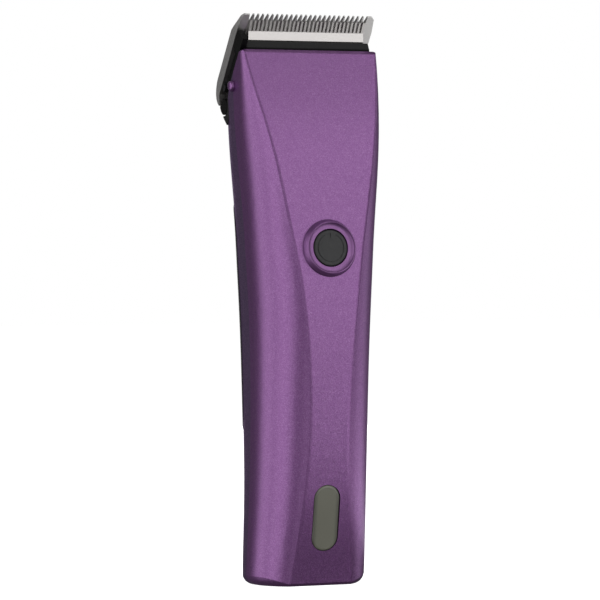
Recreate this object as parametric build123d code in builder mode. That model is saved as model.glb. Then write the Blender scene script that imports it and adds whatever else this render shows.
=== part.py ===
from build123d import *
import math
import os

os.makedirs("parts", exist_ok=True)

# Cordless pet clipper, standing on its end face. X right, front (button side) towards -Y, Z up
# towards the blade. Origin: on the flat end face, in line with the body's length.

# ---- driving dimensions (mm) ----
WALL = 1.8                    # shell wall
SEAT_HEIGHT = 167.4           # level top edge of the front panel
CREASE = 0.5                  # how far the rounding of the two creases reaches
BACK_FULLNESS = 0.9           # how square the rounded back is (0.55 would be an ellipse)
BLADE_ANGLE = 37.5            # blade plane against the body axis (degrees)
BLADE_Y, BLADE_Z = 2.74, 158.4
LUG_R, LUG_Y, LUG_Z = 1.75, 1.3, 156.2   # side knobs for attachment combs
RING_TILT = 4.5
RING_Y, RING_Z = -19.4, 105.2
WINDOW_TILT = 9.4
WINDOW_Y, WINDOW_Z = -14.95, 21.3
BATTERY_R, BATTERY_LENGTH, BATTERY_Y, BATTERY_Z = 9.0, 65.0, 0.9, 24.0
MOTOR_R, MOTOR_FLAT, MOTOR_Y = 12.0, 9.2, 0.2
MOTOR_BOTTOM, MOTOR_TOP = 105.0, 137.0
CRANK_THROW = 1.0             # eccentricity, and half of the cutter's stroke
COMB_HALF, CUTTER_HALF = 23.1, 19.7
HINGE_U, HINGE_N = -10.9, 0.6  # blade hinge axis in the blade plane's own coordinates
LEVER_U = -5.8                # centre line of the adjusting lever
SOCKET_Y = 4.6                # charging inlet, behind the centre of the end face

# rounding round the end face: level, narrower at each side by, less deep at front and back by
FOOT_ROUNDING = ((0, 3.2, 1.0), (0.55, 1.55, 0.15), (1.2, 0.81, -0.35), (2.2, 0.22, -0.7),
                 (4.0, -0.35, -1.2))

# level, half width, panel half width, front depth, side wall depth, back depth, parting line
STATIONS = [
    (0, 19.2, 10.5, 10.6, 1.6, 11.5, 3.85),
    (20, 18.9, 8.2, 14.7, 2.2, 12.2, 2.37),
    (40, 18.65, 6.7, 17.6, 2.6, 12.9, 1.06),
    (60, 18.7, 6.5, 19.4, 3.0, 14.2, 0.23),
    (80, 19.05, 8.0, 20.5, 3.3, 15.0, -0.32),
    (100, 20.0, 10.5, 19.9, 3.6, 14.9, -0.46),
    (120, 21.3, 14.1, 18.1, 4.2, 14.4, -0.34),
    (140, 22.8, 17.8, 15.3, 4.8, 14.1, 0.5),
    (150, 23.2, 19.8, 12.3, 5.2, 13.5, 0.9),
    (160, 23.25, 21.6, 8.7, 5.4, 12.6, 1.0),
    (172, 23.15, 22.75, 4.0, 4.0, 11.6, 1.0),
]


def tilted(y, z, out_y, out_z):
    """Plane facing (0, out_y, out_z), X to the right."""
    return Plane(origin=(0, y, z), x_dir=(1, 0, 0), z_dir=(0, out_y, out_z))


def sine(angle):
    return math.sin(math.radians(angle))


def cosine(angle):
    return math.cos(math.radians(angle))


RING = tilted(RING_Y, RING_Z, -cosine(RING_TILT), sine(RING_TILT))
WINDOW = tilted(WINDOW_Y, WINDOW_Z, -cosine(WINDOW_TILT), -sine(WINDOW_TILT))
# blade plan: local y runs to the tooth tips (u), local z away from the housing (n), local x is -X
BLADE = Plane(origin=(0, BLADE_Y, BLADE_Z), x_dir=(-1, 0, 0),
              z_dir=(0, cosine(BLADE_ANGLE), sine(BLADE_ANGLE)))
# blade seen from the side: local x is u, local y is n
BLADE_SIDE = Plane(origin=(0, BLADE_Y, BLADE_Z), z_dir=(-1, 0, 0),
                   x_dir=(0, -sine(BLADE_ANGLE), cosine(BLADE_ANGLE)))


def front_section(station, inset, level):
    """Flat panel, two creases, convex flanks and short side walls, carried past the parting."""
    _, half, panel, front, side, _, parting = station
    a = half - inset
    p = min(panel - 0.25 * inset, a - 0.35)
    f = front - inset
    w = parting - min(side, f + parting - 1.2)
    e = parting + 3 + inset
    turn = 2 * math.atan2(a - p, w + f)
    q = (p + CREASE * math.sin(turn), CREASE * math.cos(turn) - f)
    with BuildSketch(Plane.XY.offset(level)) as outline:
        with BuildLine():
            Line((-a, e), (a, e))
            Line((a, e), (a, w))
            TangentArc((a, w), q, tangent=(0, -1))
            Bezier(q, (p, -f), (p - CREASE, -f))
            Line((p - CREASE, -f), (CREASE - p, -f))
            Bezier((CREASE - p, -f), (-p, -f), (-q[0], q[1]))
            TangentArc((-a, w), (-q[0], q[1]), tangent=(0, -1))
            Line((-a, w), (-a, e))
        make_face()
    return outline.sketch.face()


def rear_section(station, inset, level):
    """Rounded back, carried a little in front of the parting."""
    _, half, _, _, _, back, parting = station
    a = half - inset
    k = BACK_FULLNESS
    b = back - inset
    h = b - parting
    e = parting - 3 - inset
    with BuildSketch(Plane.XY.offset(level)) as outline:
        with BuildLine():
            Line((-a, e), (a, e))
            Line((a, e), (a, parting))
            Bezier((a, parting), (a - 0.25, parting + k * h), (k * a, b), (0, b))
            Bezier((0, b), (-k * a, b), (0.25 - a, parting + k * h), (-a, parting))
            Line((-a, parting), (-a, e))
        make_face()
    return outline.sketch.face()


def body(section, inset):
    """Loft of one half of the body through all stations."""
    with BuildPart() as half:
        loft([section(station, inset, station[0]) for station in STATIONS])
    return half.part


def foot(section):
    """Waste outside the rounding round the end face, wide at the sides, narrow front and back."""
    _, half, panel, front, side, back, parting = STATIONS[0]
    rings = [section((level, half - across, panel, front - deep, side, back - deep, parting),
                     0, level) for level, across, deep in FOOT_ROUNDING]
    with BuildPart() as waste:
        with Locations((0, 0, -1)):
            Box(80, 80, FOOT_ROUNDING[-1][0] + 1, align=(Align.CENTER, Align.CENTER, Align.MIN))
        loft(rings, mode=Mode.SUBTRACT)
    return waste.part


def behind_parting():
    """Everything behind the curved parting surface of the shells."""
    with BuildPart() as block:
        with BuildSketch(Plane.YZ):
            with BuildLine():
                top, low = STATIONS[-1], STATIONS[0]
                Spline(*[(station[6], station[0]) for station in STATIONS])
                Line((top[6], top[0]), (top[6], 200))
                Line((top[6], 200), (60, 200))
                Line((60, 200), (60, -5))
                Line((60, -5), (low[6], -5))
                Line((low[6], -5), (low[6], low[0]))
            make_face()
        extrude(amount=60, both=True)
    return block.part


def above(level):
    """Everything above a level."""
    with BuildPart() as block:
        with Locations((0, 0, level)):
            Box(80, 80, 200, align=(Align.CENTER, Align.CENTER, Align.MIN))
    return block.part


FRONT_CAVITY = body(front_section, WALL) & above(2.6)
REAR_CAVITY = body(rear_section, WALL) & above(2.6)
BEHIND = behind_parting()
# label, x, z, seat of the head
SHELL_SCREWS = [("lower_left", -12, 9, 4.8), ("lower_right", 12, 9, 4.8),
                ("upper_left", -17.0, 131, 3.5), ("upper_right", 17.0, 131, 3.5)]
BOARD_POSTS = [(-8.5, -18), (8.5, -18), (-10.6, 7.5), (10.6, 7.5)]
CHARGE_POSTS = [(-7, 39), (7, 39)]

# ---------------------------------------------------------------- front shell
front_solid = body(front_section, 0)
rear_solid = body(rear_section, 0)

with BuildPart() as front_posts:
    for _, x, z, _ in SHELL_SCREWS:
        with BuildSketch(Plane.XZ.offset(-6)):
            with Locations((x, z)):
                Circle(2.8)
        extrude(amount=28)
    with BuildSketch(RING.offset(-8.0)):
        with Locations(*BOARD_POSTS):
            Circle(2.0)
    extrude(amount=12)
    with BuildSketch(Plane.XZ.offset(9.9)):
        with Locations(*CHARGE_POSTS):
            Circle(1.9)
    extrude(amount=12)
    add(body(front_section, 0.6), mode=Mode.INTERSECT)

with BuildPart() as upper_housing:
    add(front_solid)
    split(bisect_by=Plane.XY.offset(SEAT_HEIGHT), keep=Keep.BOTTOM)
    # bevelled top edge of the front panel
    with BuildSketch(Plane.YZ):
        Polygon((-8, 165.0), (-6.5, 166.1), (-6.17, 166.6), (-5.1, 167.45), (-5.1, 170), (-8, 170),
                align=None)
    extrude(amount=30, both=True, mode=Mode.SUBTRACT)
    # its two rounded top corners
    with BuildSketch(Plane.XZ):
        with BuildLine():
            Line((21.9, 167.4), (21.9, 170))
            Line((21.9, 170), (25, 170))
            Line((25, 170), (25, 166.1))
            Line((25, 166.1), (23.2, 166.1))
            TangentArc((21.9, 167.4), (23.2, 166.1), tangent=(1, 0))
        make_face()
        mirror(about=Plane.YZ)
    extrude(amount=30, both=True, mode=Mode.SUBTRACT)
    add(FRONT_CAVITY, mode=Mode.SUBTRACT)
    add(front_posts.part)
    add(foot(front_section), mode=Mode.SUBTRACT)
    add(BEHIND, mode=Mode.SUBTRACT)
    split(bisect_by=BLADE, keep=Keep.BOTTOM)
    # opening for the switch ring
    with BuildSketch(RING.offset(-6)):
        Circle(9.0)
    extrude(amount=12, mode=Mode.SUBTRACT)
    # opening for the charge window
    with BuildSketch(WINDOW.offset(-4)):
        SlotOverall(21.1, 9.0, rotation=90)
    extrude(amount=8, mode=Mode.SUBTRACT)
    # seat of the inlet bezel and the socket's opening
    with BuildSketch(Plane.XY):
        with Locations((0, 2)):
            RectangleRounded(24.1, 13.1, 3)
    extrude(amount=1.25, mode=Mode.SUBTRACT)
    with Locations((0, SOCKET_Y, -1)):
        Cylinder(3.25, 6, align=(Align.CENTER, Align.CENTER, Align.MIN), mode=Mode.SUBTRACT)
    # pilot holes
    with BuildSketch(Plane.XZ.offset(-6)):
        with Locations(*[(x, z) for _, x, z, _ in SHELL_SCREWS]):
            Circle(1.1)
    extrude(amount=13.5, mode=Mode.SUBTRACT)
    with BuildSketch(RING.offset(-8.0)):
        with Locations(*BOARD_POSTS):
            Circle(0.8)
    extrude(amount=4.5, mode=Mode.SUBTRACT)
    with BuildSketch(Plane.XZ.offset(9.9)):
        with Locations(*CHARGE_POSTS):
            Circle(0.8)
    extrude(amount=4, mode=Mode.SUBTRACT)
    # domed side knobs that an attachment comb clips over
    for side in (-1, 1):
        with BuildPart(mode=Mode.PRIVATE) as knob:
            with BuildSketch(Plane.YZ.offset(side * 22.6)):
                with Locations((LUG_Y, LUG_Z)):
                    Circle(LUG_R)
            extrude(amount=side * 2.1)
            fillet(knob.edges().filter_by(GeomType.CIRCLE).group_by(Axis.X)[-(side + 1) // 2], 1.1)
            with BuildPart(mode=Mode.SUBTRACT):
                add(rear_solid)
                add(BEHIND, mode=Mode.INTERSECT)
        add(knob.part)
upper_housing.part.label = "upper_housing"
export_step(upper_housing.part, "parts/upper_housing.step")

# ---------------------------------------------------------------- rear shell and its soft grip
with BuildPart() as grip_blank:
    with BuildSketch(Plane.YZ):
        with BuildLine():
            Line((7.8, 58), (7.8, 109))
            Spline((7.8, 109), (9.6, 118), (20, 123.5), tangents=[(0, 1), (1, 0.2)])
            Line((20, 123.5), (20, 44))
            Spline((20, 44), (9.6, 49.5), (7.8, 58), tangents=[(-1, 0.2), (0, 1)])
        make_face()
    extrude(amount=30, both=True)
    add(body(rear_section, -0.2), mode=Mode.INTERSECT)
    add(body(rear_section, 1.0), mode=Mode.SUBTRACT)

with BuildPart() as grip_grooves:
    with BuildSketch(Plane.XZ):
        with Locations((0, 83)):
            with GridLocations(1, 6.5, 1, 10):
                SlotOverall(24, 1.6)
    extrude(amount=-30)
    add(body(rear_section, 0.35), mode=Mode.SUBTRACT)

with BuildPart() as rear_grip:
    add(grip_blank.part)
    add(grip_grooves.part, mode=Mode.SUBTRACT)
rear_grip.part.label = "rear_grip"
export_step(rear_grip.part, "parts/rear_grip.step")

with BuildPart() as rear_posts:
    for _, x, z, _ in SHELL_SCREWS:
        with BuildSketch(Plane.XZ.offset(2)):
            with Locations((x, z)):
                Circle(3.2)
        extrude(amount=-22)
    # two ribs that cradle the cell
    for z in (38, 74):
        with BuildSketch(Plane.XY.offset(z)):
            with Locations((0, 10)):
                Rectangle(34, 20)
            with Locations((0, BATTERY_Y)):
                Circle(BATTERY_R, mode=Mode.SUBTRACT)
                Rectangle(60, 6, mode=Mode.SUBTRACT)
        extrude(amount=1.6)
    add(body(rear_section, 0.6), mode=Mode.INTERSECT)

# corner blocks of the head frame that close the shell below the blade's heel
with BuildPart() as heel_covers:
    for side in (-1, 1):
        with BuildSketch(BLADE_SIDE.offset(side * 18.4)):
            Polygon((-13.75, -0.35), (-13.95, -2.1), (-14.1, -4.7), (-11.6, -4.9), (-7.2, -2.4),
                    (-7.2, -0.35), align=None)
            with Locations((HINGE_U, HINGE_N)):
                Circle(2.95, mode=Mode.SUBTRACT)
        extrude(amount=side * 4.4)
    tall = heel_covers.edges().filter_by(lambda e: abs(e.center().X) > 22.7)
    chamfer(tall.group_by(Axis.Y)[-1], 0.5)

with BuildPart() as lower_housing:
    add(rear_solid)
    add(REAR_CAVITY, mode=Mode.SUBTRACT)
    add(rear_posts.part)
    add(foot(rear_section), mode=Mode.SUBTRACT)
    add(grip_blank.part, mode=Mode.SUBTRACT)
    add(BEHIND, mode=Mode.INTERSECT)
    split(bisect_by=BLADE, keep=Keep.BOTTOM)
    # screw clearance and head recess
    for _, x, z, seat in SHELL_SCREWS:
        with BuildSketch(Plane.XZ.offset(2)):
            with Locations((x, z)):
                Circle(1.2)
        extrude(amount=-12, mode=Mode.SUBTRACT)
        with BuildSketch(Plane.XZ.offset(-seat)):
            with Locations((x, z)):
                Circle(2.4)
        extrude(amount=-16, mode=Mode.SUBTRACT)
    # seat of the inlet bezel and the socket's opening
    with BuildSketch(Plane.XY):
        with Locations((0, 2)):
            RectangleRounded(24.1, 13.1, 3)
    extrude(amount=1.25, mode=Mode.SUBTRACT)
    with Locations((0, SOCKET_Y, -1)):
        Cylinder(3.25, 6, align=(Align.CENTER, Align.CENTER, Align.MIN), mode=Mode.SUBTRACT)
    # groove for the blade's hinge barrel, and room for the heel covers
    with BuildSketch(BLADE_SIDE):
        with Locations((HINGE_U, HINGE_N)):
            Circle(2.95)
    extrude(amount=30, both=True, mode=Mode.SUBTRACT)
    add(heel_covers.part, mode=Mode.SUBTRACT)
lower_housing.part.label = "lower_housing"
export_step(lower_housing.part, "parts/lower_housing.step")


# ---------------------------------------------------------------- screws
def cross_recess(plane, depth, size):
    """Cross drive cut into a screw head."""
    with BuildPart() as cross:
        with BuildSketch(plane):
            Rectangle(size, size * 0.24)
            Rectangle(size * 0.24, size)
        extrude(amount=-depth)
    return cross.part


for tag, x, z, seat in SHELL_SCREWS:
    head = Plane(origin=(x, seat + 1.7, z), x_dir=(-1, 0, 0), z_dir=(0, 1, 0))
    with BuildPart() as housing_screw:
        with BuildSketch(head):
            Circle(2.15)
        extrude(amount=-1.7)
        with BuildSketch(head.offset(-1.7)):
            Circle(1.1)
        extrude(amount=-9)
        chamfer(housing_screw.edges().filter_by(GeomType.CIRCLE).sort_by(Axis.Y)[-1], 0.35)
        add(cross_recess(head, 0.9, 2.4), mode=Mode.SUBTRACT)
    housing_screw.part.label = f"housing_screw_{tag}"
    export_step(housing_screw.part, f"parts/housing_screw_{tag}.step")

# ---------------------------------------------------------------- switch ring and button
with BuildPart() as switch_ring:
    with BuildSketch(Plane(origin=RING.origin, x_dir=(1, 0, 0), z_dir=-RING.y_dir)):
        with BuildLine():
            Polyline((7.8, 2.0), (7.95, 2.05), (8.1, 1.95), (8.9, 0.1), (8.95, -0.1), (8.95, -2.15),
                     (10.2, -2.15), (10.2, -3.6), (7.9, -3.6), (7.9, -1.6), (5.9, -1.6),
                     (5.9, 0.95), (6.0, 1.05), (6.75, 1.07))
            TangentArc((6.75, 1.07), (7.8, 2.0), tangent=(1, 0))
        make_face()
    revolve(axis=Axis(RING.origin, RING.z_dir))
switch_ring.part.label = "switch_ring"
export_step(switch_ring.part, "parts/switch_ring.step")

with BuildPart() as power_button:
    with BuildSketch(RING.offset(-1.95)):
        Circle(5.6)
    extrude(amount=3.0)
    fillet(power_button.edges().filter_by(GeomType.CIRCLE).group_by(Axis.Y)[0], 0.4)
    with BuildSketch(RING.offset(-3.0)):
        Circle(7.4)
    extrude(amount=1.05)
    with BuildSketch(RING.offset(-4.25)):
        Circle(1.5)
    extrude(amount=1.4)
    # engraved standby mark: broken circle with a tick at the top
    with BuildSketch(RING.offset(0.85)):
        Circle(4.5)
        Circle(4.2, mode=Mode.SUBTRACT)
        with Locations((0, 4.3)):
            Rectangle(3.6, 1.4, mode=Mode.SUBTRACT)
        with Locations((0, 3.9)):
            Rectangle(0.3, 1.3)
    extrude(amount=1, mode=Mode.SUBTRACT)
power_button.part.label = "power_button"
export_step(power_button.part, "parts/power_button.step")

# ---------------------------------------------------------------- control board behind the button
with BuildPart() as control_board:
    with BuildSketch(RING.offset(-9.2)):
        with Locations((0, -6)):
            RectangleRounded(26, 32, 2)
        with Locations(*BOARD_POSTS):
            Circle(0.85, mode=Mode.SUBTRACT)
    extrude(amount=1.2)
control_board.part.label = "control_board"
export_step(control_board.part, "parts/control_board.step")

with BuildPart() as tact_switch:
    with BuildSketch(RING.offset(-8.0)):
        Rectangle(6, 6)
    extrude(amount=2.4)
    chamfer(tact_switch.edges().filter_by(Axis(RING.origin, RING.z_dir)), 0.4)
    with BuildSketch(RING.offset(-7.4)):
        Circle(1.77)
    extrude(amount=3, mode=Mode.SUBTRACT)
tact_switch.part.label = "tact_switch"
export_step(tact_switch.part, "parts/tact_switch.step")

with BuildPart() as switch_plunger:
    with BuildSketch(RING.offset(-6.4)):
        Circle(1.7)
    extrude(amount=1.8)
    chamfer(switch_plunger.edges().filter_by(GeomType.CIRCLE).group_by(Axis.Y)[0], 0.25)
switch_plunger.part.label = "switch_plunger"
export_step(switch_plunger.part, "parts/switch_plunger.step")

with BuildPart() as control_chip:
    with BuildSketch(RING.offset(-8.0)):
        with Locations((0, -14)):
            Rectangle(5, 4)
    extrude(amount=1.3)
    chamfer(control_chip.faces().sort_by(Axis.Y)[0].edges(), 0.25)
    with BuildSketch(RING.offset(-8.0)):
        with Locations((0, -14)):
            with GridLocations(6.2, 1.27, 2, 3):
                Rectangle(1.3, 0.45)
    extrude(amount=0.35)
control_chip.part.label = "control_chip"
export_step(control_chip.part, "parts/control_chip.step")

with BuildPart() as capacitor:
    with BuildSketch(RING.offset(-8.0)):
        with Locations((9.2, -8)):
            Circle(2.1)
    extrude(amount=4.2)
    fillet(capacitor.edges().filter_by(GeomType.CIRCLE).group_by(Axis.Y)[0], 0.4)
capacitor.part.label = "capacitor"
export_step(capacitor.part, "parts/capacitor.step")

for tag, x in (("left", -8.5), ("right", 8.5)):
    with BuildPart() as board_screw:
        with BuildSketch(RING.offset(-10.2)):
            with Locations((x, -18)):
                Circle(1.7)
        extrude(amount=1.0)
        with BuildSketch(RING.offset(-9.2)):
            with Locations((x, -18)):
                Circle(0.8)
        extrude(amount=5)
        back = RING.offset(-10.2)
        drive = Plane(origin=back.from_local_coords((x, -18, 0)), x_dir=(-1, 0, 0), z_dir=-RING.z_dir)
        add(cross_recess(drive, 0.5, 1.8), mode=Mode.SUBTRACT)
    board_screw.part.label = f"board_screw_{tag}"
    export_step(board_screw.part, f"parts/board_screw_{tag}.step")

# ---------------------------------------------------------------- charge window and its board
with BuildPart() as charge_window:
    with BuildSketch(WINDOW.offset(-2.2)):
        SlotOverall(21.0, 8.9, rotation=90)
    extrude(amount=2.2)
    top = charge_window.faces().sort_by(Axis(WINDOW.origin, WINDOW.z_dir))[-1]
    fillet(top.edges(), 0.8)
    with BuildSketch(WINDOW.offset(-3.1)):
        SlotOverall(23.6, 11.5, rotation=90)
        SlotOverall(18.0, 6.5, rotation=90, mode=Mode.SUBTRACT)
    extrude(amount=0.95)
charge_window.part.label = "charge_window"
export_step(charge_window.part, "parts/charge_window.step")

with BuildPart() as charge_board:
    with BuildSketch(Plane.XZ.offset(8.9)):
        with Locations((0, 28)):
            RectangleRounded(19, 28, 1.5)
        with Locations(*CHARGE_POSTS):
            Circle(0.85, mode=Mode.SUBTRACT)
    extrude(amount=1.0)
charge_board.part.label = "charge_board"
export_step(charge_board.part, "parts/charge_board.step")

with BuildPart() as charge_leds:
    with BuildSketch(Plane.XZ.offset(9.9)):
        with Locations((0, 17), (0, 22), (0, 27)):
            Rectangle(2.0, 1.4)
    extrude(amount=0.7)
charge_leds.part.label = "charge_leds"
export_step(charge_leds.part, "parts/charge_leds.step")

with BuildPart() as light_guide:
    with BuildSketch(Plane.YZ):
        Polygon((-10.75, 15.0), (-10.75, 28.5), (-13.7, 28.5), (-11.45, 15.0), align=None)
    extrude(amount=2.6, both=True)
light_guide.part.label = "light_guide"
export_step(light_guide.part, "parts/light_guide.step")

for tag, x in (("left", -7), ("right", 7)):
    with BuildPart() as charge_screw:
        with BuildSketch(Plane.XZ.offset(8.1)):
            with Locations((x, 39)):
                Circle(1.6)
        extrude(amount=0.8)
        with BuildSketch(Plane.XZ.offset(8.9)):
            with Locations((x, 39)):
                Circle(0.8)
        extrude(amount=4.4)
    charge_screw.part.label = f"charge_board_screw_{tag}"
    export_step(charge_screw.part, f"parts/charge_board_screw_{tag}.step")

# ---------------------------------------------------------------- charging inlet
with BuildPart() as inlet_bezel:
    with BuildSketch(Plane.XY):
        with Locations((0, 2)):
            RectangleRounded(24, 13, 2.95)
        with Locations((0, SOCKET_Y)):
            Circle(3.25, mode=Mode.SUBTRACT)
    extrude(amount=1.2)
inlet_bezel.part.label = "inlet_bezel"
export_step(inlet_bezel.part, "parts/inlet_bezel.step")

with BuildPart() as charge_socket:
    with Locations((0, SOCKET_Y - 0.3, 2.6)):
        Box(9, 8, 10.4, align=(Align.CENTER, Align.CENTER, Align.MIN))
    chamfer(charge_socket.edges().filter_by(Axis.Z), 0.6)
    with Locations((0, SOCKET_Y, 0.3)):
        Cylinder(3.2, 2.4, align=(Align.CENTER, Align.CENTER, Align.MIN))
        Cylinder(2.75, 10, align=(Align.CENTER, Align.CENTER, Align.MIN), mode=Mode.SUBTRACT)
charge_socket.part.label = "charge_socket"
export_step(charge_socket.part, "parts/charge_socket.step")

with BuildPart() as socket_pin:
    with Locations((0, SOCKET_Y, 1.4)):
        Cylinder(0.95, 8.9, align=(Align.CENTER, Align.CENTER, Align.MIN))
    fillet(socket_pin.edges().sort_by(Axis.Z)[0], 0.5)
socket_pin.part.label = "socket_pin"
export_step(socket_pin.part, "parts/socket_pin.step")

# ---------------------------------------------------------------- battery
with BuildPart() as battery_cell:
    with Locations((0, BATTERY_Y, BATTERY_Z)):
        Cylinder(BATTERY_R, BATTERY_LENGTH, align=(Align.CENTER, Align.CENTER, Align.MIN))
    fillet(battery_cell.edges().filter_by(GeomType.CIRCLE), 0.6)
battery_cell.part.label = "battery_cell"
export_step(battery_cell.part, "parts/battery_cell.step")

with BuildPart() as battery_cap:
    with Locations((0, BATTERY_Y, BATTERY_Z + BATTERY_LENGTH)):
        Cylinder(3.0, 0.9, align=(Align.CENTER, Align.CENTER, Align.MIN))
    fillet(battery_cap.edges().sort_by(Axis.Z)[-1], 0.25)
battery_cap.part.label = "battery_cap"
export_step(battery_cap.part, "parts/battery_cap.step")

with BuildPart() as battery_tab_top:
    with Locations((0, BATTERY_Y - 2, BATTERY_Z + BATTERY_LENGTH + 0.9)):
        Box(5, 9, 0.2, align=(Align.CENTER, Align.CENTER, Align.MIN))
battery_tab_top.part.label = "battery_tab_top"
export_step(battery_tab_top.part, "parts/battery_tab_top.step")

with BuildPart() as battery_tab_bottom:
    with Locations((0, BATTERY_Y - 2, BATTERY_Z - 0.2)):
        Box(5, 9, 0.2, align=(Align.CENTER, Align.CENTER, Align.MIN))
battery_tab_bottom.part.label = "battery_tab_bottom"
export_step(battery_tab_bottom.part, "parts/battery_tab_bottom.step")

# ---------------------------------------------------------------- motor and crank
with BuildPart() as motor_can:
    with BuildSketch(Plane.XY.offset(MOTOR_BOTTOM)):
        with Locations((0, MOTOR_Y)):
            Circle(MOTOR_R)
            Rectangle(40, 2 * MOTOR_FLAT, mode=Mode.INTERSECT)
    extrude(amount=MOTOR_TOP - MOTOR_BOTTOM)
    fillet(motor_can.faces().sort_by(Axis.Z)[-1].edges(), 0.8)
    with Locations((0, MOTOR_Y, MOTOR_TOP - 6)):
        Cylinder(1.4, 8, align=(Align.CENTER, Align.CENTER, Align.MIN), mode=Mode.SUBTRACT)
    with Locations((0, MOTOR_Y, MOTOR_BOTTOM)):
        Cylinder(1.4, 8, align=(Align.CENTER, Align.CENTER, Align.MIN), mode=Mode.SUBTRACT)
        Cylinder(9.0, 27.5, align=(Align.CENTER, Align.CENTER, Align.MIN), mode=Mode.SUBTRACT)
    with BuildSketch(Plane.XY.offset(MOTOR_TOP - 4)):
        with Locations((-8, MOTOR_Y), (8, MOTOR_Y)):
            Circle(0.9)
    extrude(amount=5, mode=Mode.SUBTRACT)
motor_can.part.label = "motor_can"
export_step(motor_can.part, "parts/motor_can.step")

with BuildPart() as motor_endcap:
    with BuildSketch(Plane.XY.offset(MOTOR_BOTTOM - 3)):
        with Locations((0, MOTOR_Y)):
            Circle(MOTOR_R - 0.4)
            Rectangle(40, 2 * MOTOR_FLAT - 0.8, mode=Mode.INTERSECT)
            Circle(1.06, mode=Mode.SUBTRACT)
    extrude(amount=3)
motor_endcap.part.label = "motor_endcap"
export_step(motor_endcap.part, "parts/motor_endcap.step")

for tag, x in (("left", -5.5), ("right", 5.5)):
    with BuildPart() as motor_terminal:
        with Locations((x, MOTOR_Y, MOTOR_BOTTOM - 8)):
            Box(2.4, 0.5, 5, align=(Align.CENTER, Align.CENTER, Align.MIN))
        with BuildSketch(Plane.XZ.offset(-MOTOR_Y - 1)):
            with Locations((x, MOTOR_BOTTOM - 6.4)):
                Circle(0.5)
        extrude(amount=2, mode=Mode.SUBTRACT)
    motor_terminal.part.label = f"motor_terminal_{tag}"
    export_step(motor_terminal.part, f"parts/motor_terminal_{tag}.step")

with BuildPart() as motor_bearing:
    with Locations((0, MOTOR_Y, MOTOR_TOP)):
        Cylinder(3.1, 2.2, align=(Align.CENTER, Align.CENTER, Align.MIN))
    fillet(motor_bearing.edges().sort_by(Axis.Z)[-1], 0.4)
    with Locations((0, MOTOR_Y, MOTOR_TOP)):
        Cylinder(1.06, 4, align=(Align.CENTER, Align.CENTER, Align.MIN), mode=Mode.SUBTRACT)
motor_bearing.part.label = "motor_bearing"
export_step(motor_bearing.part, "parts/motor_bearing.step")

with BuildPart() as motor_shaft:
    with Locations((0, MOTOR_Y, MOTOR_BOTTOM - 4.5)):
        Cylinder(1.0, 43, align=(Align.CENTER, Align.CENTER, Align.MIN))
motor_shaft.part.label = "motor_shaft"
export_step(motor_shaft.part, "parts/motor_shaft.step")

with BuildPart() as motor_armature:
    with Locations((0, MOTOR_Y, MOTOR_BOTTOM + 4)):
        Cylinder(8.4, 17, align=(Align.CENTER, Align.CENTER, Align.MIN))
        with BuildSketch(Plane.XY.offset(MOTOR_BOTTOM + 4)):
            with Locations((0, MOTOR_Y)):
                with PolarLocations(7.2, 3):
                    Rectangle(4.2, 1.6)
        extrude(amount=17, mode=Mode.SUBTRACT)
        Cylinder(1.0, 20, align=(Align.CENTER, Align.CENTER, Align.MIN), mode=Mode.SUBTRACT)
motor_armature.part.label = "motor_armature"
export_step(motor_armature.part, "parts/motor_armature.step")

with BuildPart() as crank_hub:
    with Locations((0, MOTOR_Y, 141)):
        Cylinder(4.0, 7, align=(Align.CENTER, Align.CENTER, Align.MIN))
    fillet(crank_hub.edges().filter_by(GeomType.CIRCLE), 0.3)
    with Locations((0, MOTOR_Y, 141)):
        Cylinder(1.0, 2.5, align=(Align.CENTER, Align.CENTER, Align.MIN), mode=Mode.SUBTRACT)
    with Locations((0, MOTOR_Y - CRANK_THROW, 144)):
        Cylinder(0.9, 8, align=(Align.CENTER, Align.CENTER, Align.MIN), mode=Mode.SUBTRACT)
crank_hub.part.label = "crank_hub"
export_step(crank_hub.part, "parts/crank_hub.step")

with BuildPart() as crank_pin:
    with Locations((0, MOTOR_Y - CRANK_THROW, 144)):
        Cylinder(0.9, 17, align=(Align.CENTER, Align.CENTER, Align.MIN))
    chamfer(crank_pin.edges().sort_by(Axis.Z)[-1], 0.25)
crank_pin.part.label = "crank_pin"
export_step(crank_pin.part, "parts/crank_pin.step")

with BuildPart() as motor_bracket:
    with BuildSketch(Plane.XY.offset(MOTOR_TOP)):
        with Locations((0, MOTOR_Y)):
            RectangleRounded(38, 18, 3)
            Circle(3.2, mode=Mode.SUBTRACT)
        with Locations((-8, MOTOR_Y), (8, MOTOR_Y)):
            Circle(1.0, mode=Mode.SUBTRACT)
    extrude(amount=1.6)
motor_bracket.part.label = "motor_bracket"
export_step(motor_bracket.part, "parts/motor_bracket.step")

for tag, x in (("left", -8), ("right", 8)):
    with BuildPart() as motor_screw:
        with Locations((x, MOTOR_Y, MOTOR_TOP - 3.5)):
            Cylinder(0.9, 5.2, align=(Align.CENTER, Align.CENTER, Align.MIN))
        with Locations((x, MOTOR_Y, MOTOR_TOP + 1.6)):
            Cylinder(1.8, 1.2, align=(Align.CENTER, Align.CENTER, Align.MIN))
        drive = Plane(origin=(x, MOTOR_Y, MOTOR_TOP + 2.8))
        add(cross_recess(drive, 0.6, 2.0), mode=Mode.SUBTRACT)
    motor_screw.part.label = f"motor_screw_{tag}"
    export_step(motor_screw.part, f"parts/motor_screw_{tag}.step")

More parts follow.
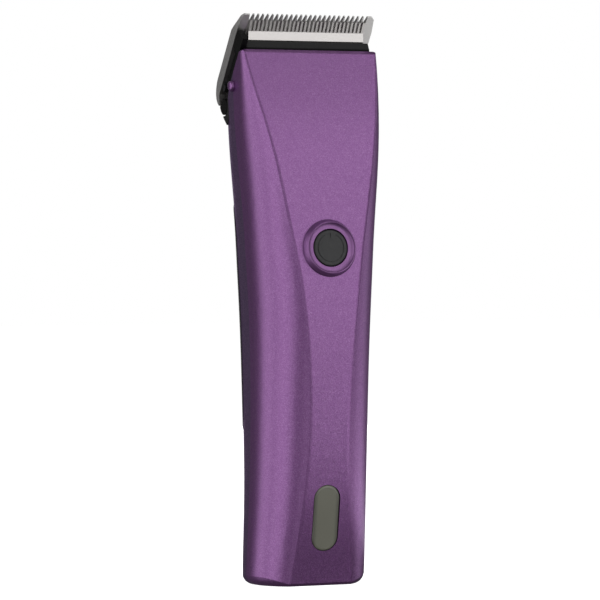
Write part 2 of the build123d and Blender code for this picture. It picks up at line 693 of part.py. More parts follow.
with BuildPart() as motor_damper:
    with BuildSketch(Plane.XY.offset(118)):
        with Locations((0, MOTOR_Y)):
            Circle(MOTOR_R + 1.6)
            Rectangle(40, 2 * MOTOR_FLAT + 2, mode=Mode.INTERSECT)
        with BuildSketch(Plane.XY.offset(118), mode=Mode.SUBTRACT):
            with Locations((0, MOTOR_Y)):
                Circle(MOTOR_R)
                Rectangle(40, 2 * MOTOR_FLAT, mode=Mode.INTERSECT)
    extrude(amount=7)
motor_damper.part.label = "motor_damper"
export_step(motor_damper.part, "parts/motor_damper.step")

# ---------------------------------------------------------------- head frame with the blade hinge
with BuildPart() as head_frame:
    with BuildSketch(BLADE.offset(-3.4)):
        Rectangle(60, 60)
    extrude(amount=3.0)
    with BuildPart(mode=Mode.INTERSECT):
        add(body(front_section, WALL + 0.1))
        add(BEHIND, mode=Mode.SUBTRACT)
        with BuildPart():
            add(body(rear_section, WALL + 0.1))
            add(BEHIND, mode=Mode.INTERSECT)
    with BuildSketch(BLADE.offset(-6)):
        with Locations((0, 3)):
            RectangleRounded(15.2, 14.4, 1.5)
        with Locations((-10.5, 5.1), (10.5, 5.1)):
            Rectangle(4.4, 4.0)
    extrude(amount=8, mode=Mode.SUBTRACT)
    with BuildSketch(BLADE_SIDE):
        with Locations((HINGE_U, HINGE_N)):
            Circle(2.95)
    extrude(amount=30, both=True, mode=Mode.SUBTRACT)
    for side in (-1, 1):
        with BuildSketch(BLADE_SIDE.offset(side * 15.0)):
            with Locations((HINGE_U, HINGE_N)):
                Circle(2.3)
            Polygon((HINGE_U - 0.6, 0), (HINGE_U + 2.0, 0), (HINGE_U + 4.5, -1.2),
                    (HINGE_U + 4.5, -3.4), (HINGE_U - 0.6, -3.4), align=None)
        extrude(amount=side * 2.6)
    with BuildSketch(BLADE_SIDE):
        with Locations((HINGE_U, HINGE_N)):
            Circle(1.0)
    extrude(amount=20, both=True, mode=Mode.SUBTRACT)
    add(heel_covers.part)
head_frame.part.label = "head_frame"
export_step(head_frame.part, "parts/head_frame.step")

with BuildPart() as hinge_pin:
    with BuildSketch(BLADE_SIDE):
        with Locations((HINGE_U, HINGE_N)):
            Circle(1.0)
    extrude(amount=17.6, both=True)
    chamfer(hinge_pin.edges().filter_by(GeomType.CIRCLE), 0.2)
hinge_pin.part.label = "hinge_pin"
export_step(hinge_pin.part, "parts/hinge_pin.step")

for tag, x in (("left", 10.5), ("right", -10.5)):
    with BuildPart() as latch_clip:
        with BuildSketch(BLADE_SIDE.offset(x - 1.8)):
            Polygon((-3.4, -3.9), (-3.4, -3.4), (3.0, -3.4), (3.0, -5.0), (2.5, -5.8), (3.1, -6.8),
                    (2.7, -7.1), (2.0, -5.8), (2.5, -4.8), (2.5, -3.9), align=None)
        extrude(amount=3.6)
    latch_clip.part.label = f"latch_clip_{tag}"
    export_step(latch_clip.part, f"parts/latch_clip_{tag}.step")

# ---------------------------------------------------------------- blade carrier
with BuildPart() as blade_carrier:
    # base plate with the nose that shows under the cutter
    with BuildSketch(BLADE_SIDE):
        Polygon((-10.9, 0.4), (11.9, 0.4), (13.2, 1.7), (12.9, 2.4), (-10.9, 2.4), align=None)
    extrude(amount=21.9, both=True)
    # heel block, side rails and hinge barrel
    with BuildSketch(BLADE_SIDE):
        Polygon((-10.9, 0.4), (1.5, 0.4), (1.5, 5.32), (-6.6, 5.32), (-8.9, 3.6), (-10.9, 3.0),
                align=None)
        with Locations((HINGE_U, HINGE_N)):
            Circle(2.5)
    extrude(amount=21.6, both=True)
    # ends of the heel reach out to the corners of the head
    with BuildSketch(BLADE_SIDE):
        Polygon((-10.9, -1.4), (-9.5, 0.4), (-9.5, 3.1), (-12.7, 3.1), (-13.3, 1.8), (-13.4, 0.6),
                align=None)
        with Locations((HINGE_U, HINGE_N)):
            Circle(2.5)
    extrude(amount=22.8, both=True)
    with BuildSketch(BLADE.offset(2.4)):
        with Locations((-19.9, 4), (19.9, 4)):
            Rectangle(3.4, 13)
    extrude(amount=2.92)
    # nose ends slope inwards
    for side in (-1, 1):
        with BuildSketch(BLADE):
            Polygon((side * 22.0, 9.5), (side * 20.8, 13.6), (side * 24, 13.6), (side * 24, 9.5),
                    align=None)
        extrude(amount=2.8, mode=Mode.SUBTRACT)
    # guard wall beside the cutter on the left
    with BuildSketch(BLADE.offset(0.4)):
        Polygon((21.0, 6.0), (21.0, 15.0), (22.8, 15.0), (22.9, 9.0), (21.6, 6.0), align=None)
    extrude(amount=4.7)
    # opening for the drive fork
    with BuildSketch(BLADE):
        with Locations((0, 3.1)):
            RectangleRounded(14.4, 13, 1)
    extrude(amount=8, mode=Mode.SUBTRACT)
    # hinge bore and room for the frame's ears
    with BuildSketch(BLADE_SIDE):
        with Locations((HINGE_U, HINGE_N)):
            Circle(1.05)
    extrude(amount=18.2, mode=Mode.SUBTRACT)
    with BuildSketch(BLADE_SIDE):
        with Locations((HINGE_U, HINGE_N)):
            Circle(1.05)
    extrude(amount=-30, mode=Mode.SUBTRACT)
    for side in (-1, 1):
        with BuildSketch(BLADE_SIDE.offset(side * 14.6)):
            with Locations((HINGE_U, HINGE_N)):
                Circle(2.75)
            Polygon((HINGE_U, 0), (HINGE_U + 5.5, 0), (HINGE_U + 5.5, 0.8),
                    (HINGE_U + 2.7, 0.8), (HINGE_U + 2.7, HINGE_N), align=None)
        extrude(amount=side * 3.4, mode=Mode.SUBTRACT)
    # fan-shaped pocket for the adjusting lever
    with BuildSketch(BLADE.offset(2.6)):
        Polygon((-1.8, LEVER_U + 2.9), (7, LEVER_U + 2.0), (14.5, LEVER_U + 2.7),
                (22, LEVER_U + 3.6), (22, LEVER_U - 3.6), (14.5, LEVER_U - 2.7),
                (7, LEVER_U - 2.0), (-1.8, LEVER_U - 2.9), align=None)
    extrude(amount=3, mode=Mode.SUBTRACT)
    with BuildSketch(BLADE.offset(0.8)):
        with Locations((7, LEVER_U)):
            Circle(0.9)
    extrude(amount=3, mode=Mode.SUBTRACT)
    # pocket and grooves for the cutter's wire spring
    with BuildSketch(BLADE.offset(1.2)):
        with Locations((0, -4.6)):
            Rectangle(21.6, 1.8)
        with Locations((-10, 1.5), (10, 1.5)):
            Rectangle(1.6, 14)
    extrude(amount=2.4, mode=Mode.SUBTRACT)
    # pilot holes for the comb screws
    with BuildSketch(BLADE.offset(1.2)):
        with Locations((-14.5, -1.5), (14.5, -1.5)):
            Circle(0.8)
    extrude(amount=5, mode=Mode.SUBTRACT)
    # catches that the latch clips hold
    with BuildSketch(BLADE_SIDE):
        Polygon((3.9, 0.4), (5.6, 0.4), (5.4, -5.2), (3.9, -5.2), (3.6, -4.8), (3.9, -4.2),
                align=None)
    extrude(amount=11.8, both=True)
    with BuildSketch(BLADE_SIDE):
        Polygon((3.0, 0.4), (7, 0.4), (7, -6), (3.0, -6), align=None)
    extrude(amount=9.2, both=True, mode=Mode.SUBTRACT)
blade_carrier.part.label = "blade_carrier"
export_step(blade_carrier.part, "parts/blade_carrier.step")

# ---------------------------------------------------------------- comb blade
with BuildPart() as comb_blade:
    # plate with a lip curled down over the heel, ground down to thin teeth
    with BuildSketch(BLADE_SIDE):
        with BuildLine():
            Polyline((-9.5, 5.4), (-11.8, 3.45), (-12.5, 3.6), (-12.5, 4.6))
            Spline((-12.5, 4.6), (-11.3, 7.2), (-9.75, 8.35), (-8.2, 8.95), (-5.5, 9.3),
                   tangents=[(0.1, 1), (1, 0)])
            Polyline((-5.5, 9.3), (12.4, 9.3), (16, 7.75), (19.8, 6.4), (20.75, 6.1),
                     (20.95, 5.8), (20.7, 5.4), (-9.5, 5.4))
        make_face()
    extrude(amount=COMB_HALF, both=True)
    # 25 gaps leave 24 pointed teeth and two wide end teeth
    with BuildSketch(BLADE.offset(4)):
        with GridLocations(1.63, 1, 25, 1):
            Polygon((-0.66, 22.0), (-0.63, 20.9), (-0.42, 17.6), (-0.40, 13.6), (0, 13.2),
                    (0.40, 13.6), (0.42, 17.6), (0.63, 20.9), (0.66, 22.0), align=None)
    extrude(amount=8, mode=Mode.SUBTRACT)
    # end teeth: outer edge slants in, corner cut off at the tip
    for side in (-1, 1):
        with BuildSketch(BLADE.offset(4)):
            Polygon((side * COMB_HALF, 15), (side * (COMB_HALF - 0.5), 19.8), (side * 21.6, 21.0),
                    (side * 25, 21.0), (side * 25, 15), align=None)
        extrude(amount=8, mode=Mode.SUBTRACT)
    # slots for the shoulder screws
    with BuildSketch(BLADE.offset(5)):
        with Locations((-14.5, -1.5), (14.5, -1.5)):
            SlotOverall(5.2, 2.8, rotation=90)
    extrude(amount=6, mode=Mode.SUBTRACT)
    with BuildSketch(BLADE.offset(7.1)):
        with Locations((-14.5, -1.5), (14.5, -1.5)):
            SlotOverall(8.2, 5.6, rotation=90)
    extrude(amount=4, mode=Mode.SUBTRACT)
    # cross slot for the lever's cam pin
    with BuildSketch(BLADE.offset(5)):
        with Locations((1.0, LEVER_U)):
            SlotOverall(2.9, 1.9)
    extrude(amount=2.0, mode=Mode.SUBTRACT)
comb_blade.part.label = "comb_blade"
export_step(comb_blade.part, "parts/comb_blade.step")

for tag, x in (("left", 14.5), ("right", -14.5)):
    with BuildPart() as comb_screw:
        with BuildSketch(BLADE.offset(1.5)):
            with Locations((x, -1.5)):
                Circle(0.8)
        extrude(amount=4)
        with BuildSketch(BLADE.offset(5.32)):
            with Locations((x, -1.5)):
                Circle(1.3)
        extrude(amount=1.9)
        with BuildSketch(BLADE.offset(7.18)):
            with Locations((x, -1.5)):
                Circle(2.4)
        extrude(amount=1.4)
        head = Plane(origin=BLADE.from_local_coords((x, -1.5, 8.58)), x_dir=(-1, 0, 0),
                     z_dir=BLADE.z_dir)
        add(cross_recess(head, 0.7, 2.6), mode=Mode.SUBTRACT)
    comb_screw.part.label = f"comb_screw_{tag}"
    export_step(comb_screw.part, f"parts/comb_screw_{tag}.step")

# ---------------------------------------------------------------- blade adjusting lever
with BuildPart() as adjust_lever:
    with BuildSketch(BLADE.offset(2.9)):
        Polygon((-0.4, LEVER_U + 1.3), (7, LEVER_U + 1.6), (17, LEVER_U + 1.2),
                (22.9, LEVER_U + 1.0), (22.9, LEVER_U - 1.0), (17, LEVER_U - 1.2),
                (7, LEVER_U - 1.6), (-0.4, LEVER_U - 1.3), align=None)
    extrude(amount=1.4)
    with BuildSketch(BLADE.offset(4.2)):
        with Locations((1.0, LEVER_U)):
            Circle(0.87)
    extrude(amount=2.4)
    with BuildSketch(BLADE.offset(1.1)):
        with Locations((7, LEVER_U)):
            Circle(0.84)
    extrude(amount=2.0)
adjust_lever.part.label = "adjust_lever"
export_step(adjust_lever.part, "parts/adjust_lever.step")

# ---------------------------------------------------------------- cutter blade with its drive fork
with BuildPart() as cutter_blade:
    with BuildSketch(BLADE_SIDE):
        Polygon((4, 5.35), (18.8, 5.35), (18.9, 4.9), (15.3, 4.3), (13.1, 2.75), (4, 2.75),
                align=None)
    extrude(amount=CUTTER_HALF, both=True)
    # narrow tail behind the bar
    for side in (-1, 1):
        with BuildSketch(BLADE.offset(2)):
            with Locations((side * 22, 7)):
                Rectangle(11, 8)
        extrude(amount=4, mode=Mode.SUBTRACT)
    # 29 gaps leave 30 teeth
    with BuildSketch(BLADE.offset(3.5)):
        with GridLocations(1.325, 1, 29, 1):
            Polygon((-0.44, 19.5), (-0.40, 18.8), (-0.30, 15.6), (0, 15.3), (0.30, 15.6),
                    (0.40, 18.8), (0.44, 19.5), align=None)
    extrude(amount=3, mode=Mode.SUBTRACT)
cutter_blade.part.label = "cutter_blade"
export_step(cutter_blade.part, "parts/cutter_blade.step")

with BuildPart() as drive_fork:
    with BuildSketch(BLADE.offset(1.7)):
        with Locations((0, 3)):
            Rectangle(10.8, 10)
    extrude(amount=1.05)
    with BuildSketch(BLADE.offset(2.7)):
        with Locations((0, 0.9)):
            Rectangle(10.8, 5.8)
    extrude(amount=2.4)
    for side in (-1, 1):
        with BuildSketch(BLADE.offset(-4.0)):
            with Locations((side * 4.3, 3)):
                Rectangle(2.2, 10)
        extrude(amount=5.8)
    chamfer(drive_fork.faces().sort_by(Axis(BLADE.origin, BLADE.z_dir))[0].edges(), 0.4)
drive_fork.part.label = "drive_fork"
export_step(drive_fork.part, "parts/drive_fork.step")

with BuildPart() as cutter_spring:
    with BuildLine(BLADE):
        spring_path = FilletPolyline((-10, 7.5, 2.35), (-10, -4.6, 2.1), (10, -4.6, 2.1),
                                     (10, 7.5, 2.35), radius=0.6)
    with BuildSketch(Plane(origin=spring_path @ 0, z_dir=spring_path % 0)):
        Circle(0.35)
    sweep(transition=Transition.RIGHT)
cutter_spring.part.label = "cutter_spring"
export_step(cutter_spring.part, "parts/cutter_spring.step")

# ---------------------------------------------------------------- leads
LEADS = {
    "battery_lead_positive": [(2.5, -3.9, 90.9), (6, -9.2, 90.4), (9, -9.6, 84), (9.6, -9.4, 70)],
    "battery_lead_negative": [(-2.5, -3.9, 23.1), (-4, -5.4, 22.0), (-5.5, -6.9, 20.5),
                              (-6.5, -8.0, 19.0)],
    "motor_lead_positive": [(5.5, -0.6, 99.4), (8, -4, 97.5), (9.5, -8.5, 97), (8.0, -10.4, 96)],
    "motor_lead_negative": [(-5.5, -0.6, 99.4), (-8, -4, 97.5), (-9.5, -8.5, 97), (-8.0, -10.4, 96)],
}
for tag, points in LEADS.items():
    with BuildPart() as lead:
        with BuildLine() as run:
            Spline(*points)
        with BuildSketch(Plane(origin=run.line @ 0, z_dir=run.line % 0)):
            Circle(0.55)
        sweep()
    lead.part.label = tag
    export_step(lead.part, f"parts/{tag}.step")
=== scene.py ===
"""Looks of the cordless pet clipper: procedural materials, floor, studio light and camera."""
import math

import bpy
from mathutils import Matrix, Vector

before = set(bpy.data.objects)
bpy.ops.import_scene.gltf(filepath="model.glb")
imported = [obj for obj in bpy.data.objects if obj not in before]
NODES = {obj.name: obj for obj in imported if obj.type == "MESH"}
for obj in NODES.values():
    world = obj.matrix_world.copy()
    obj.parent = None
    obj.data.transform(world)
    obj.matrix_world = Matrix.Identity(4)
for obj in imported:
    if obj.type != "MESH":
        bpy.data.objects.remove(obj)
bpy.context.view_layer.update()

# ---- lengths in metres, angles in degrees ----
NOISE_SPAN = (0.3, 0.7)         # a noise texture keeps mostly between these values
FLAKE_SPAN = (0.1, 0.9)         # and the tones of the flakes between these
FLAKE_TILT = 0.12               # how far the flakes of the lacquers lean
PAINTED_SHADE_TOP = (0.1668, 0.1672)  # painted shade: below this level the carrier is painted dead black
PAINTED_SHADE_EDGE = (-0.0208, -0.0204)  # and left of this line too; the nose above and right of both keeps a paler black
WINDOW_PAINTED_SHADE = (0.0028, 0.0044)   # painted shade: the charge window darkens between these distances from its middle
FLOOR_HALF = 12.0
FLOOR_GLOW = 0.93
AMBIENT = (0.12, 0.12, 0.12, 1)
WHITE = (1, 1, 1, 1)
MIDDLE = (0, 0, 0.09)           # half way up the body
BOUNCE = (0.23, -0.03)          # card on the floor that lights the blade from below
CAMERA_AZIMUTH, CAMERA_ROLL = 23.91, 0.5185
CAMERA_DISTANCE = 1.1736
CAMERA_AIM = (0, 0.0035, 0.0892)
LENS, SENSOR = 223.2, 36        # in millimetres


# ---------------------------------------------------------------- material helpers
def srgb(r, g, b):
    """Linear RGBA from a 0 to 255 display colour."""
    def lin(v):
        v = v / 255
        return v / 12.92 if v <= 0.04045 else ((v + 0.055) / 1.055) ** 2.4
    return (lin(r), lin(g), lin(b), 1.0)


def darker(tone, share):
    """The same hue at a share of its strength."""
    return tuple([c * share for c in tone[:3]] + [1])


class Material:
    """A Principled material with a few short ways to add nodes."""

    def __init__(self, name, color=(0.5, 0.5, 0.5, 1), *, rough, metal=0.0):
        self.mat = bpy.data.materials.new(name)
        self.mat.use_nodes = True
        self.tree = self.mat.node_tree
        self.shader = self.tree.nodes["Principled BSDF"]
        self.set("Base Color", color)
        self.set("Roughness", rough)
        self.set("Metallic", metal)
        self.coords = self.add("ShaderNodeTexCoord").outputs["Object"]

    def set(self, socket, value):
        """Constant on one of the shader's own sockets."""
        self.shader.inputs[socket].default_value = value

    def coat(self, weight, rough):
        """Thin clear coat."""
        self.set("Coat Weight", weight)
        self.set("Coat Roughness", rough)

    def add(self, kind, **settings):
        node = self.tree.nodes.new(kind)
        for key, value in settings.items():
            setattr(node, key, value)
        return node

    def link(self, source, target):
        self.tree.links.new(source, target)

    def scaled(self, sx, sy, sz):
        """Object coordinates stretched per axis, for streaks and tracks."""
        mapping = self.add("ShaderNodeMapping")
        mapping.inputs["Scale"].default_value = (sx, sy, sz)
        self.link(self.coords, mapping.inputs["Vector"])
        return mapping.outputs["Vector"]

    def axes(self):
        """Object coordinates, one output per axis."""
        node = self.add("ShaderNodeSeparateXYZ")
        self.link(self.coords, node.inputs["Vector"])
        return node.outputs

    def noise(self, scale, detail=2.0, vector=None):
        node = self.add("ShaderNodeTexNoise")
        node.inputs["Scale"].default_value = scale
        node.inputs["Detail"].default_value = detail
        self.link(vector or self.coords, node.inputs["Vector"])
        return node.outputs["Fac"]

    def ramp(self, value, *stops):
        node = self.add("ShaderNodeValToRGB")
        element = node.color_ramp.elements
        element[0].position, element[0].color = stops[0]
        element[1].position, element[1].color = stops[-1]
        for position, color in stops[1:-1]:
            element.new(position).color = color
        self.link(value, node.inputs["Fac"])
        return node.outputs["Color"]

    def map_range(self, value, span, low=0.0, high=1.0):
        """Carries the span of a value over to low and high."""
        node = self.add("ShaderNodeMapRange")
        for socket, number in zip(("From Min", "From Max", "To Min", "To Max"),
                                  (*span, low, high)):
            node.inputs[socket].default_value = number
        self.link(value, node.inputs["Value"])
        return node.outputs["Result"]

    def calc(self, operation, *values):
        node = self.add("ShaderNodeMath", operation=operation)
        for value, socket in zip(values, node.inputs):
            self.link(value, socket)
        return node.outputs["Value"]

    def mix(self, factor, a, b):
        """From colour a to colour b; each is a socket or a constant."""
        node = self.add("ShaderNodeMix", data_type="RGBA")
        for socket, value in ((node.inputs[0], factor), (node.inputs[6], a), (node.inputs[7], b)):
            if isinstance(value, bpy.types.NodeSocket):
                self.link(value, socket)
            else:
                socket.default_value = value
        return node.outputs[2]

    def flakes(self, scale, tilt):
        """Tiny facets, each leaning its own way; returns the random colour of each."""
        cells = self.add("ShaderNodeTexVoronoi")
        cells.inputs["Scale"].default_value = scale
        self.link(self.coords, cells.inputs["Vector"])
        centred = self.add("ShaderNodeVectorMath", operation="SUBTRACT")
        centred.inputs[1].default_value = (0.5, 0.5, 0.5)
        self.link(cells.outputs["Color"], centred.inputs[0])
        small = self.add("ShaderNodeVectorMath", operation="SCALE")
        small.inputs["Scale"].default_value = tilt
        self.link(centred.outputs["Vector"], small.inputs[0])
        total = self.add("ShaderNodeVectorMath", operation="ADD")
        self.link(self.add("ShaderNodeNewGeometry").outputs["Normal"], total.inputs[0])
        self.link(small.outputs["Vector"], total.inputs[1])
        unit = self.add("ShaderNodeVectorMath", operation="NORMALIZE")
        self.link(total.outputs["Vector"], unit.inputs[0])
        self.link(unit.outputs["Vector"], self.shader.inputs["Normal"])
        return cells.outputs["Color"]

    def flake_tones(self, scale, *stops):
        """Flakes of a lacquer, each with its own tone."""
        return self.ramp(self.map_range(self.flakes(scale, FLAKE_TILT), FLAKE_SPAN), *stops)

    def color(self, source):
        self.link(source, self.shader.inputs["Base Color"])

    def color_between(self, noise, dark, light):
        """Base colour that wanders between two tones."""
        self.color(self.ramp(noise, (NOISE_SPAN[0], dark), (NOISE_SPAN[1], light)))

    def rough_between(self, noise, low, high):
        """Roughness that wanders between two values."""
        self.link(self.map_range(noise, NOISE_SPAN, low, high), self.shader.inputs["Roughness"])

    def bump(self, height, strength, distance):
        node = self.add("ShaderNodeBump")
        node.inputs["Strength"].default_value = strength
        node.inputs["Distance"].default_value = distance
        self.link(height, node.inputs["Height"])
        self.link(node.outputs["Normal"], self.shader.inputs["Normal"])


# ---------------------------------------------------------------- materials
def metallic_paint():
    """Purple lacquer full of fine metal flake under a thin satin clear coat."""
    m = Material("metallic_purple_paint", rough=0.36, metal=0.9)
    flake = m.flake_tones(5200, (0.0, srgb(105, 65, 115)), (0.5, srgb(117, 76, 126)),
                          (1.0, srgb(134, 95, 142)))
    cloud = m.map_range(m.noise(700, 3.0), (0.35, 0.65), 0.0, 0.3)
    m.color(m.mix(cloud, flake, srgb(110, 68, 120)))
    m.rough_between(m.noise(1800), 0.33, 0.42)
    m.set("Specular Tint", srgb(222, 202, 232))
    m.coat(0.35, 0.3)
    return m.mat


def satin_purple():
    """Smooth moulded purple of the switch ring."""
    m = Material("satin_purple_plastic", srgb(128, 90, 136), rough=0.34, metal=0.8)
    m.flakes(5200, 0.05)
    m.color_between(m.noise(260, 3.0), srgb(122, 84, 131), srgb(132, 93, 140))
    m.rough_between(m.noise(1500), 0.42, 0.50)
    return m.mat


def rear_paint():
    """Dark grey-violet satin lacquer of the rear shell."""
    m = Material("rear_violet_paint", rough=0.4, metal=0.85)
    m.color(m.flake_tones(4600, (0.0, srgb(88, 72, 98)), (1.0, srgb(112, 95, 123))))
    m.rough_between(m.noise(1800), 0.36, 0.46)
    m.set("Specular Tint", srgb(200, 176, 214))
    m.coat(0.05, 0.35)
    return m.mat


def soft_grip():
    """Soft-touch rubber with a fine leather-like skin."""
    m = Material("soft_touch_rubber", srgb(26, 25, 28), rough=0.72)
    skin = m.noise(2200, 4.0)
    m.color_between(m.noise(120, 3.0), srgb(22, 21, 24), srgb(34, 33, 37))
    m.rough_between(skin, 0.66, 0.82)
    m.bump(skin, 0.25, 0.00008)
    m.set("Sheen Weight", 0.15)
    return m.mat


def moulded(name, dark, light, rough, grain=1800, gloss=0.5):
    """Moulded plastic with a fine spark-eroded grain."""
    m = Material(name, dark, rough=rough)
    m.set("Specular IOR Level", gloss)
    skin = m.noise(grain, 3.0)
    m.color_between(m.noise(180, 3.0), dark, light)
    m.rough_between(skin, rough - 0.06, rough + 0.08)
    m.bump(skin, 0.12, 0.00005)
    return m.mat


def carrier_plastic():
    """Black moulding with painted shade: dead black on its left end and below the nose, a paler
    black on the nose under the cutter.
    """
    black = srgb(3, 3, 3)
    m = Material("carrier_plastic", black, rough=0.5)
    m.set("Specular IOR Level", 0.12)
    axes = m.axes()
    high = m.map_range(axes["Z"], PAINTED_SHADE_TOP)
    right_of_painted_shade = m.map_range(axes["X"], PAINTED_SHADE_EDGE)
    # painted shade: the left end and lower faces are painted dead black for the shade in the gap
    # under the comb, the nose stays paler
    m.color(m.mix(m.calc("MULTIPLY", high, right_of_painted_shade), black, srgb(33, 33, 33)))
    skin = m.noise(1800, 3.0)
    m.rough_between(skin, 0.45, 0.6)
    m.bump(skin, 0.12, 0.00005)
    return m.mat


def window_lens():
    """Smoked, slightly milky window, with painted shade darkening it along its two long edges."""
    m = Material("smoked_window", srgb(98, 98, 87), rough=0.3)
    body = m.ramp(m.noise(60), (NOISE_SPAN[0], srgb(97, 97, 86)),
                  (NOISE_SPAN[1], srgb(102, 102, 91)))
    # painted shade along the window's two long edges
    painted_edge_shade = m.map_range(m.calc("ABSOLUTE", m.axes()["X"]), WINDOW_PAINTED_SHADE)
    m.color(m.mix(painted_edge_shade, body, srgb(60, 60, 52)))
    m.rough_between(m.noise(900), 0.32, 0.36)
    m.coat(0.15, 0.25)
    return m.mat


def ground_steel(name, tone):
    """Ground steel with fine scratches along X."""
    m = Material(name, tone, rough=0.36, metal=1.0)
    scratches = m.noise(420, 4.0, m.scaled(1, 30, 30))
    m.color_between(scratches, darker(tone, 0.82), tone)
    m.rough_between(scratches, 0.30, 0.48)
    m.bump(scratches, 0.12, 0.00003)
    return m.mat


def plain_metal(name, tone, rough):
    """Turned or stamped metal with faint mottling."""
    m = Material(name, tone, rough=rough, metal=1.0)
    spots = m.noise(700, 3.0)
    m.color_between(spots, darker(tone, 0.85), tone)
    m.rough_between(spots, rough - 0.05, rough + 0.1)
    return m.mat


def solder_mask():
    """Circuit board under green solder mask, with a hint of copper tracks."""
    m = Material("solder_mask", srgb(24, 92, 48), rough=0.35)
    board, track = srgb(18, 78, 40), srgb(46, 122, 66)
    bands = m.noise(260, 0.0, m.scaled(1, 1, 4))
    m.color(m.ramp(bands, (0.47, board), (0.5, track), (0.53, board)))
    return m.mat


# ---------------------------------------------------------------- which piece wears what
LOOKS = {
    "upper_housing": metallic_paint(),
    "lower_housing": rear_paint(),
    "switch_ring": satin_purple(),
    "rear_grip": soft_grip(),
    "power_button": moulded("button_plastic", srgb(44, 44, 45), srgb(52, 52, 53), 0.55, 1400, 0.3),
    "charge_window": window_lens(),
    "comb_blade": ground_steel("comb_steel", (0.54, 0.530, 0.522, 1)),
    "cutter_blade": ground_steel("cutter_steel", (0.56, 0.540, 0.528, 1)),
    "blade_carrier": carrier_plastic(),
    "battery_cell": moulded("cell_wrap", srgb(30, 96, 170), srgb(36, 104, 180), 0.3),
    "charge_leds": moulded("led_lens", srgb(226, 232, 226), srgb(236, 240, 236), 0.2),
    "light_guide": moulded("light_guide_plastic", srgb(206, 206, 198), srgb(216, 216, 208), 0.25),
    "switch_plunger": moulded("plunger_plastic", srgb(196, 192, 180), srgb(206, 202, 190), 0.4),
    "motor_damper": moulded("damper_rubber", srgb(30, 30, 31), srgb(38, 38, 39), 0.75),
}
for lead in ("battery_lead_positive", "motor_lead_positive"):
    LOOKS[lead] = moulded("red_insulation_" + lead, srgb(170, 22, 20), srgb(184, 30, 26), 0.4)
for board in ("control_board", "charge_board"):
    LOOKS[board] = solder_mask()

SHARED = (
    (plain_metal("turned_brass", (0.70, 0.50, 0.22, 1), 0.28),
     ("socket_pin", "crank_hub", "motor_bearing", "motor_terminal_left", "motor_terminal_right")),
    (plain_metal("satin_steel", (0.62, 0.61, 0.60, 1), 0.34),
     ("motor_can", "motor_bracket", "motor_shaft", "crank_pin", "hinge_pin", "cutter_spring",
      "latch_clip_left", "latch_clip_right", "battery_tab_top", "battery_tab_bottom",
      "battery_cap", "motor_armature")),
    (plain_metal("screw_steel", (0.45, 0.45, 0.46, 1), 0.32),
     [name for name in NODES if "screw" in name]),
)
for material, names in SHARED:
    LOOKS.update((name, material) for name in names)
BLACK = moulded("black_plastic", srgb(12, 12, 13), srgb(18, 18, 19), 0.5, gloss=0.25)

for name, obj in NODES.items():
    obj.data.materials.clear()
    obj.data.materials.append(LOOKS.get(name, BLACK))


# ---------------------------------------------------------------- floor, light, camera
def floor():
    """Plain pale floor, level with the end face, that neither lights nor shades the object."""
    mesh = bpy.data.meshes.new("studio_floor")
    r = FLOOR_HALF
    mesh.from_pydata([(-r, -r, 0), (r, -r, 0), (r, r, 0), (-r, r, 0)], [], [(0, 1, 2, 3)])
    m = Material("pale_floor", srgb(245, 245, 245), rough=0.9)
    m.color_between(m.noise(2), srgb(243, 243, 243), srgb(247, 247, 247))
    m.set("Specular IOR Level", 0.1)
    m.set("Emission Color", WHITE)
    m.set("Emission Strength", FLOOR_GLOW)
    mesh.materials.append(m.mat)
    obj = bpy.data.objects.new("studio_floor", mesh)
    obj.visible_diffuse = False
    obj.visible_glossy = False
    obj.visible_shadow = False
    bpy.context.scene.collection.objects.link(obj)


def surroundings():
    """White where the camera looks past the object, dim for everything else."""
    world = bpy.data.worlds.new("studio")
    bpy.context.scene.world = world
    world.use_nodes = True
    tree = world.node_tree
    seen = tree.nodes.new("ShaderNodeLightPath").outputs["Is Camera Ray"]
    mix = tree.nodes.new("ShaderNodeMix")
    mix.data_type = "RGBA"
    mix.inputs[6].default_value = AMBIENT
    mix.inputs[7].default_value = WHITE
    tree.links.new(seen, mix.inputs[0])
    tree.links.new(mix.outputs[2], tree.nodes["Background"].inputs["Color"])


def around(azimuth, distance, height):
    """Point round the object: 0 degrees is straight in front, positive to its left."""
    angle = math.radians(azimuth)
    return (-distance * math.sin(angle), -distance * math.cos(angle), height)


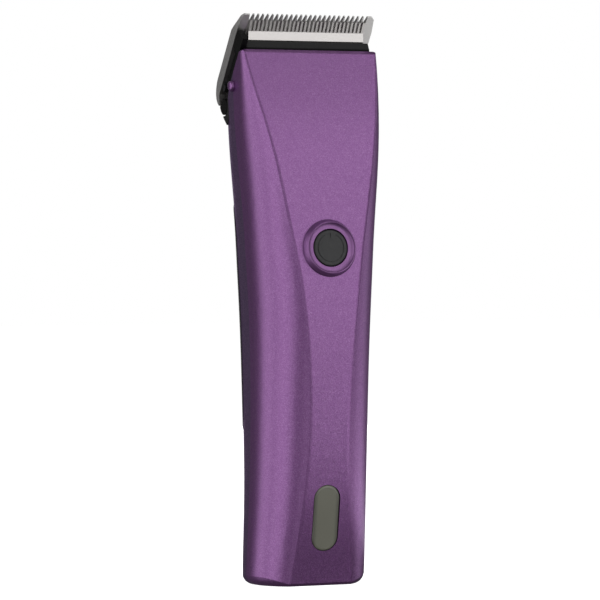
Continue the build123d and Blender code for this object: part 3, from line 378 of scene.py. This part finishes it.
def lamp(name, place, size, power, target=MIDDLE):
    """Soft rectangular lamp aimed at a point."""
    data = bpy.data.lights.new(name, "AREA")
    data.shape = "RECTANGLE"
    data.size, data.size_y = size
    data.energy = power
    obj = bpy.data.objects.new(name, data)
    obj.location = place
    aim = Vector(target) - Vector(place)
    obj.rotation_euler = aim.to_track_quat("-Z", "Y").to_euler()
    obj.visible_camera = False
    bpy.context.scene.collection.objects.link(obj)


def lamps():
    """Tall soft boxes in front, at the sides and behind, one above and one low card."""
    lamp("left_box", around(67, 1.2, 0.20), (0.9, 1.9), 9.2)
    lamp("far_left_box", around(109, 1.2, 0.20), (0.7, 1.9), 7.0)
    lamp("front_fill", around(18, 1.2, 0.20), (0.5, 1.7), 2.7)
    lamp("front_right_box", around(-28, 1.2, 0.42), (1.0, 1.6), 8.3, target=(0, 0, 0.12))
    lamp("right_box", around(-94, 1.2, 0.30), (0.7, 1.3), 2.5)
    lamp("back_box", around(196, 1.3, 0.50), (0.9, 1.2), 3.0)
    lamp("top_box", (0.1, -0.3, 1.3), (0.7, 0.7), 2.5)
    lamp("floor_bounce", (*BOUNCE, 0.002), (0.28, 0.34), 0.36, target=(*BOUNCE, 1))


def camera():
    """Long lens, level, seen 24 degrees from the front on the clipper's left."""
    yaw, roll = math.radians(CAMERA_AZIMUTH), math.radians(CAMERA_ROLL)
    look = Vector((math.sin(yaw), math.cos(yaw), 0))
    right = Vector((math.cos(yaw), -math.sin(yaw), 0))
    up = Vector((0, 0, 1))
    columns = (right * math.cos(roll) - up * math.sin(roll),
               right * math.sin(roll) + up * math.cos(roll), -look)
    place = Vector(CAMERA_AIM) - look * CAMERA_DISTANCE
    data = bpy.data.cameras.new("camera")
    data.sensor_width = SENSOR
    data.lens = LENS
    data.clip_end = 50
    obj = bpy.data.objects.new("camera", data)
    obj.matrix_world = Matrix([[c[row] for c in columns] + [place[row]] for row in range(3)]
                              + [[0, 0, 0, 1]])
    bpy.context.scene.collection.objects.link(obj)
    bpy.context.scene.camera = obj


floor()
surroundings()
lamps()
camera()
bpy.context.scene.view_settings.view_transform = "Standard"
